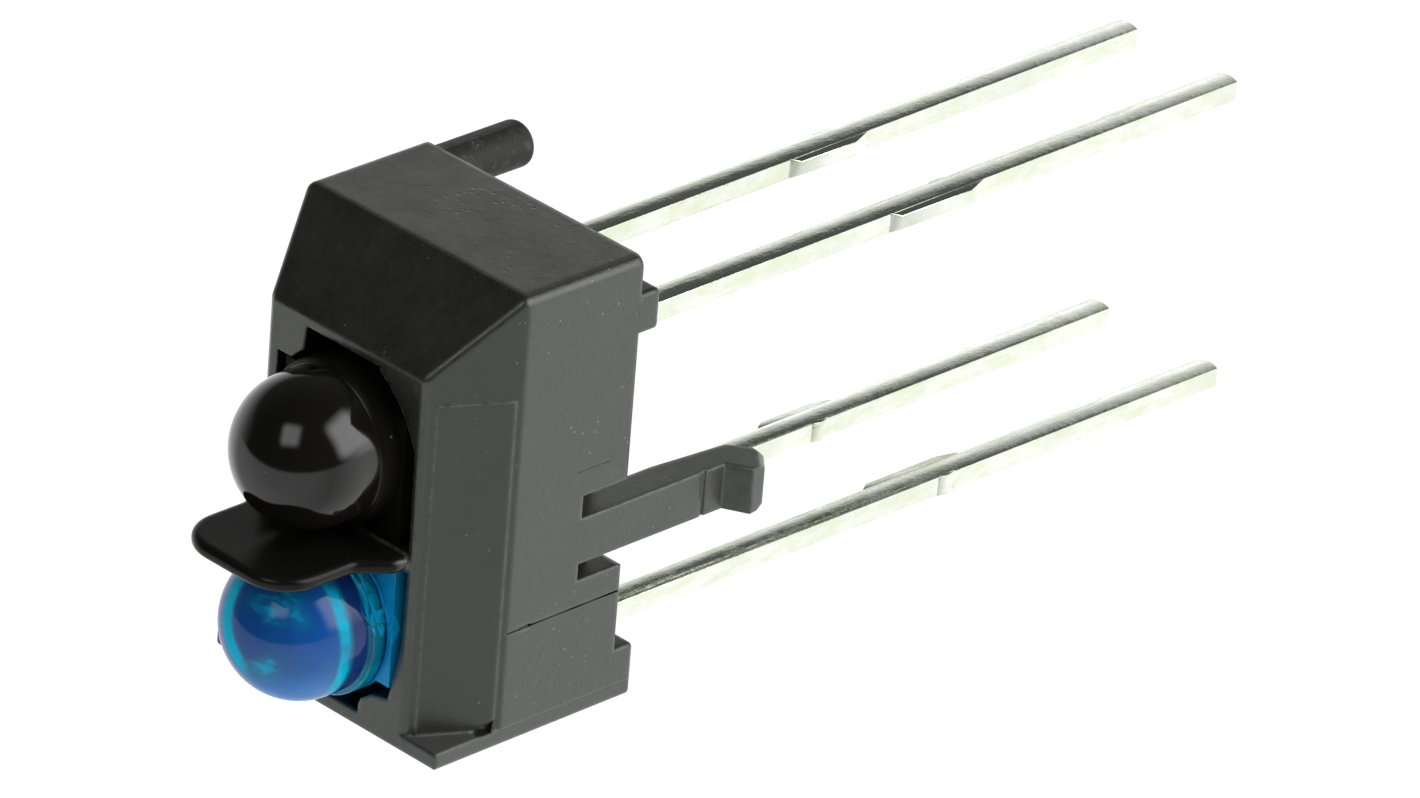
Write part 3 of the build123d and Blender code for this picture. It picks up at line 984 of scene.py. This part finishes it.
for node, slot in (
    ("emitter_chip", "silicon"),
    ("detector_chip", "silicon"),
    ("emitter_adhesive", "silver_adhesive"),
    ("detector_adhesive", "silver_adhesive"),
):
    paint(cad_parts[node], slot)


# Floor, light and camera


def pale_floor():
    """A white table below the leads. It shows the part's soft shadow and is clear from below."""
    bm = bmesh.new()
    corners = [(-1, -1), (1, -1), (1, 1), (-1, 1)]
    half = FLOOR_HALF * MM
    bm.faces.new([bm.verts.new((x * half, y * half, FLOOR_Z * MM)) for x, y in corners])
    floor = mesh_object("floor", bm)
    f = Finish("pale_floor")
    f.shade(Base_Color=0.9, Roughness=0.6, Specular_IOR_Level=0.0)
    glow = f.add("ShaderNodeEmission", Strength=FLOOR_GLOW)
    shaded = f.add("ShaderNodeBsdfDiffuse", Color=FLOOR_SHADE)
    seen = f.nodes.new("ShaderNodeAddShader")
    for source, socket in zip((glow, shaded), seen.inputs):
        f.put(source.outputs[0], socket)
    path = f.add("ShaderNodeLightPath").outputs
    rays = f.largest(
        path["Is Camera Ray"], path["Is Glossy Ray"], path["Is Transmission Ray"]
    )
    top = f.give_way(rays, f.shader.outputs[0], seen.outputs[0])
    below = f.add("ShaderNodeNewGeometry").outputs["Backfacing"]
    clear = f.add("ShaderNodeBsdfTransparent")
    f.feed(f.output, Surface=f.give_way(below, top, clear.outputs[0]))
    floor.data.materials.append(f.material)
    floor.visible_shadow = False
    floor.visible_glossy = False
    floor.visible_transmission = False


def studio_world():
    """A white table that rises to a bright far wall, under a dark room: brightness by direction.

    The camera sees plain white, also through the clear lens.
    """
    world = bpy.data.worlds.new("studio")
    bpy.context.scene.world = world
    world.use_nodes = True
    tree = Tree(world.node_tree)
    direction = tree.add("ShaderNodeTexCoord").outputs["Generated"]

    def graded(axis, stops):
        """Greys by how far a direction goes along an axis, from -1 to 1."""
        along = tree.share_between(tree.vector_math("DOT_PRODUCT", direction, axis), -1.0, 1.0)
        return tree.ramp(along, [((at + 1) / 2, value) for at, value in stops])

    past_table = (0.98, 0.0, 0.196)
    table = graded(past_table, [(-0.03, 1.0), (0.05, 0.0)])
    wall = graded(past_table, [(-0.18, 0.88), (0.08, 0.68), (0.27, 0.35), (0.40, 0.04)])
    far = graded((0.0, 0.69, -0.72), [(0.05, 0.0), (0.60, 1.0)])
    depth = graded((0.0, 0.0, 1.0), [(-0.64, 1.02), (0.16, 0.50), (0.64, 0.74)])
    room = tree.mix(1.0, tree.mix(1.0, wall, far, "MULTIPLY"), ROOM_LEVEL, "ADD")
    sky = tree.mix(1.0, tree.mix(1.0, table, depth, "MULTIPLY"), room, "LIGHTEN")
    around = tree.nodes["Background"]
    tree.feed(around, Color=sky, Strength=WORLD_LEVEL)
    white = tree.add("ShaderNodeBackground", Color=1.0)
    path = tree.add("ShaderNodeLightPath").outputs
    straight = tree.largest(path["Is Camera Ray"], path["Is Transmission Ray"])
    both = tree.give_way(straight, around.outputs[0], white.outputs[0])
    tree.feed(tree.nodes["World Output"], Surface=both)


def fade_edges(light, share):
    """Lets a rectangular lamp fade out over that share of its width and height on each side."""
    light.use_nodes = True
    tree = Tree(light.node_tree)
    place = tree.add("ShaderNodeNewGeometry").outputs["Parametric"]
    parts = tree.add("ShaderNodeSeparateXYZ", Vector=place).outputs
    falls = []
    for axis in "XY":
        away = tree.math("ABSOLUTE", tree.math("SUBTRACT", parts[axis], 0.5))
        falls.append(tree.share_between(away, 0.5, 0.5 - share, "SMOOTHSTEP"))
    tree.feed(tree.nodes["Emission"], Strength=tree.times(*falls))


def stand(obj, place, facing, upright):
    """Puts a lamp or a camera at a place in metres; facing points from what it looks at to it."""
    back = Vector(facing).normalized()
    right = Vector(upright).cross(back).normalized()
    turn = Matrix((right, back.cross(right), back)).transposed()
    obj.matrix_world = Matrix.Translation(place) @ turn.to_4x4()


def soft_box(name, facing, upright, distance, width, height, radiance):
    """A rectangular lamp that looks at the black lens. Its lengths are metres."""
    light = bpy.data.lights.new(name, "AREA")
    light.shape = "RECTANGLE"
    light.size = width
    light.size_y = height
    light.energy = radiance * width * height * math.pi
    fade_edges(light, LAMP_FADE)
    aim = Vector((DETECTOR_X * MM, 0, LENS_CENTRE_Z * MM))
    place = aim + Vector(facing).normalized() * distance
    stand(linked(name, light), place, facing, upright)


def photo_camera():
    data = bpy.data.cameras.new("photo_camera")
    data.sensor_width = FILM_WIDTH
    data.lens = LENS_PIXELS / PHOTO_WIDTH * FILM_WIDTH
    data.clip_start = 0.01
    data.clip_end = 10
    camera = linked("photo_camera", data)
    stand(camera, Vector(CAMERA_PLACE) * MM, CAMERA_FACING, CAMERA_UPRIGHT)
    bpy.context.scene.camera = camera


pale_floor()
studio_world()
soft_box(
    "key_box",
    facing=(0.537, -0.765, -0.356),
    upright=(0.039, -0.399, 0.916),
    distance=0.25,
    width=0.323,
    height=0.30,
    radiance=3.8,
)
soft_box(
    "top_box",
    facing=(0.636, -0.131, 0.76),
    upright=(0.206, -0.921, -0.33),
    distance=0.30,
    width=0.21,
    height=0.19,
    radiance=2.2,
)
photo_camera()
bpy.context.scene.view_settings.view_transform = "Standard"
